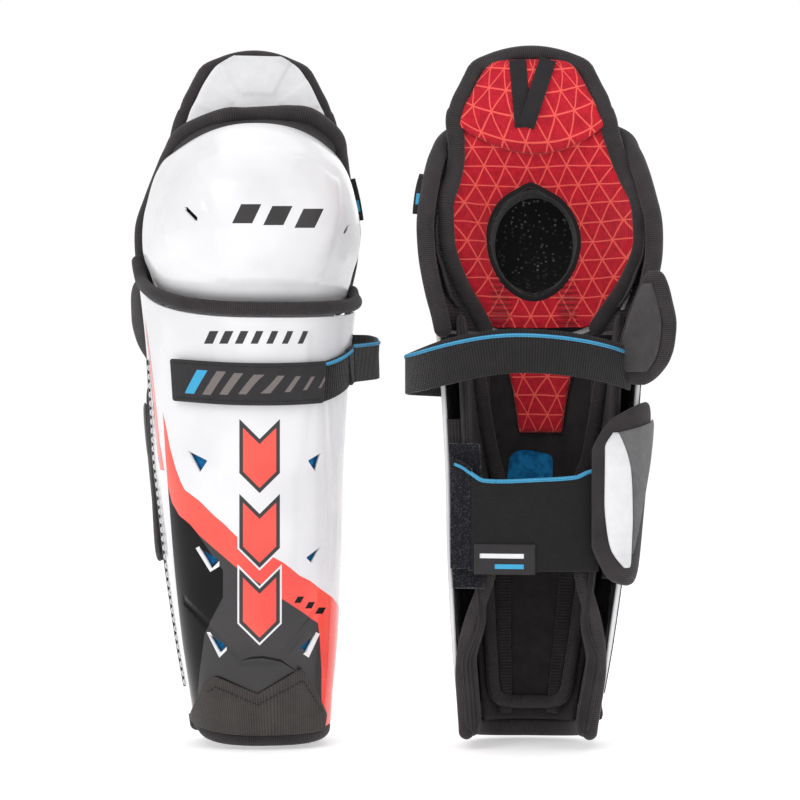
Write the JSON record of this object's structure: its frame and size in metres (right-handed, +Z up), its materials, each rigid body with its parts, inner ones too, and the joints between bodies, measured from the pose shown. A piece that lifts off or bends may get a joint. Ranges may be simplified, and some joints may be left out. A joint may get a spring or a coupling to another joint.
{
  "type": "hockey shin guards",
  "caption": "Pair of hard-shell hockey shin guards with domed knee caps, padded liners, thigh flaps, wings and straps, one seen from the front and one from the back.",
  "frame": {"origin": "centre of the pair's bounding box, at the floor", "axes": "+Z up; guard a's shell faces -Y, the viewer, and guard b's open back faces -Y; +X runs from guard a to guard b"},
  "size_m": [0.3064, 0.15, 0.3811],
  "materials": {
    "white_shell": "glossy with red and black printed bands",
    "blue_foam": "closed-cell foam",
    "black_binding": "knitted binding tape",
    "black_padding": "brushed knit over foam",
    "toe_fabric": "coarse woven cloth",
    "grey_foam": "perforated foam",
    "red_liner": "brushed knit with a printed triangle grid",
    "loop_fabric": "hook and loop pile",
    "black_webbing": "ribbed webbing with a blue edge",
    "black_elastic": "knitted elastic with a blue edge",
    "knee_mesh": "open mesh",
    "white_fabric": "fine-weave coated cloth",
    "grey_fabric": "brushed cloth",
    "black_rubber": "moulded matt patch"
  },
  "bodies": {
    "a_guard": {"a_shin_shell": "white_shell", "a_shell_foam": "blue_foam", "a_collar_roll": "black_binding", "a_toe_cover": "toe_fabric", "a_bottom_roll": "black_binding", "a_side_liner_inner": "black_padding", "a_side_liner_outer": "black_padding", "a_lower_liner": "black_padding", "a_foam_ribs": "grey_foam", "a_liner_tail": "red_liner", "a_loop_patch": "loop_fabric", "a_upper_strap": "black_webbing"},
    "a_knee": {"a_knee_cap": "white_shell", "a_knee_pad": "black_padding", "a_knee_rim": "black_binding", "a_knee_mesh": "knee_mesh", "a_knee_liner": "red_liner", "a_liner_binding": "black_binding"},
    "a_flap": {"a_flap_face": "white_fabric", "a_brow_cushion": "red_liner", "a_flap_binding": "black_binding", "a_v_loop": "black_elastic"},
    "a_knee_wing": {"a_knee_wing_pad": "black_padding", "a_knee_wing_insert": "grey_fabric"},
    "a_calf_wing": {"a_calf_wing_pad": "black_padding", "a_calf_wing_face": "white_fabric"},
    "a_strap_tab": {"a_strap_tab": "black_webbing", "a_strap_patch": "black_rubber"},
    "a_lower_strap": {"a_lower_strap": "black_elastic", "a_hook_tab": "loop_fabric"},
    "b_guard": {"b_shin_shell": "white_shell", "b_shell_foam": "blue_foam", "b_collar_roll": "black_binding", "b_toe_cover": "toe_fabric", "b_bottom_roll": "black_binding", "b_side_liner_inner": "black_padding", "b_side_liner_outer": "black_padding", "b_lower_liner": "black_padding", "b_foam_ribs": "grey_foam", "b_liner_tail": "red_liner", "b_loop_patch": "loop_fabric", "b_upper_strap": "black_webbing"},
    "b_knee": {"b_knee_cap": "white_shell", "b_knee_pad": "black_padding", "b_knee_rim": "black_binding", "b_knee_mesh": "knee_mesh", "b_knee_liner": "red_liner", "b_liner_binding": "black_binding"},
    "b_flap": {"b_flap_face": "white_fabric", "b_brow_cushion": "red_liner", "b_flap_binding": "black_binding", "b_v_loop": "black_elastic"},
    "b_knee_wing": {"b_knee_wing_pad": "black_padding", "b_knee_wing_insert": "grey_fabric"},
    "b_calf_wing": {"b_calf_wing_pad": "black_padding", "b_calf_wing_face": "white_fabric"},
    "b_strap_tab": {"b_strap_tab": "black_webbing", "b_strap_patch": "black_rubber"},
    "b_lower_strap": {"b_lower_strap": "black_elastic", "b_hook_tab": "loop_fabric"}
  },
  "joints": [
    {"name": "pair_spacing", "type": "slide", "parent": "a_guard", "child": "b_guard", "axis": [1, 0, 0], "range_m": [0, 0.3]},
    {"name": "a_knee_flex", "type": "hinge", "parent": "a_guard", "child": "a_knee", "pos_m": [-0.07598, -0.00693, 0.24], "axis": [-0.9816, -0.1908, 0], "range_deg": [-2, 10]},
    {"name": "a_flap_fold", "type": "hinge", "parent": "a_knee", "child": "a_flap", "pos_m": [-0.07808, 0.00386, 0.333], "axis": [-0.9816, -0.1908, 0], "range_deg": [0, 20]},
    {"name": "a_knee_wing_swing", "type": "hinge", "parent": "a_guard", "child": "a_knee_wing", "pos_m": [-0.13736, 0.03105, 0.228], "axis": [0, 0, 1], "range_deg": [0, 45]},
    {"name": "a_calf_wing_swing", "type": "hinge", "parent": "a_guard", "child": "a_calf_wing", "pos_m": [-0.1336, 0.01956, 0.135], "axis": [-0.0982, -0.0191, 0.995], "range_deg": [0, 60]},
    {"name": "a_strap_tab_peel", "type": "hinge", "parent": "a_guard", "child": "a_strap_tab", "pos_m": [-0.02284, -0.00781, 0.2], "axis": [0, 0, 1], "range_deg": [0, 80]},
    {"name": "a_lower_strap_open", "type": "hinge", "parent": "a_calf_wing", "child": "a_lower_strap", "pos_m": [-0.11139, 0.04527, 0.121], "axis": [0, 0, 1], "range_deg": [0, 75]},
    {"name": "b_knee_flex", "type": "hinge", "parent": "b_guard", "child": "b_knee", "pos_m": [0.08125, 0.01247, 0.24], "axis": [0.9986, -0.0523, 0], "range_deg": [-2, 10]},
    {"name": "b_flap_fold", "type": "hinge", "parent": "b_knee", "child": "b_flap", "pos_m": [0.08067, 0.00149, 0.333], "axis": [0.9986, -0.0523, 0], "range_deg": [0, 20]},
    {"name": "b_knee_wing_swing", "type": "hinge", "parent": "b_guard", "child": "b_knee_wing", "pos_m": [0.13161, -0.03923, 0.228], "axis": [0, 0, 1], "range_deg": [-24, 20]},
    {"name": "b_calf_wing_swing", "type": "hinge", "parent": "b_guard", "child": "b_calf_wing", "pos_m": [0.13074, -0.02717, 0.135], "axis": [0.0999, -0.0052, 0.995], "range_deg": [0, 60]},
    {"name": "b_strap_tab_peel", "type": "hinge", "parent": "b_guard", "child": "b_strap_tab", "pos_m": [0.02989, 0.02618, 0.2], "axis": [0, 0, 1], "range_deg": [0, 80]},
    {"name": "b_lower_strap_open", "type": "hinge", "parent": "b_calf_wing", "child": "b_lower_strap", "pos_m": [0.10298, -0.04675, 0.121], "axis": [0, 0, 1], "range_deg": [0, 75]}
  ]
}
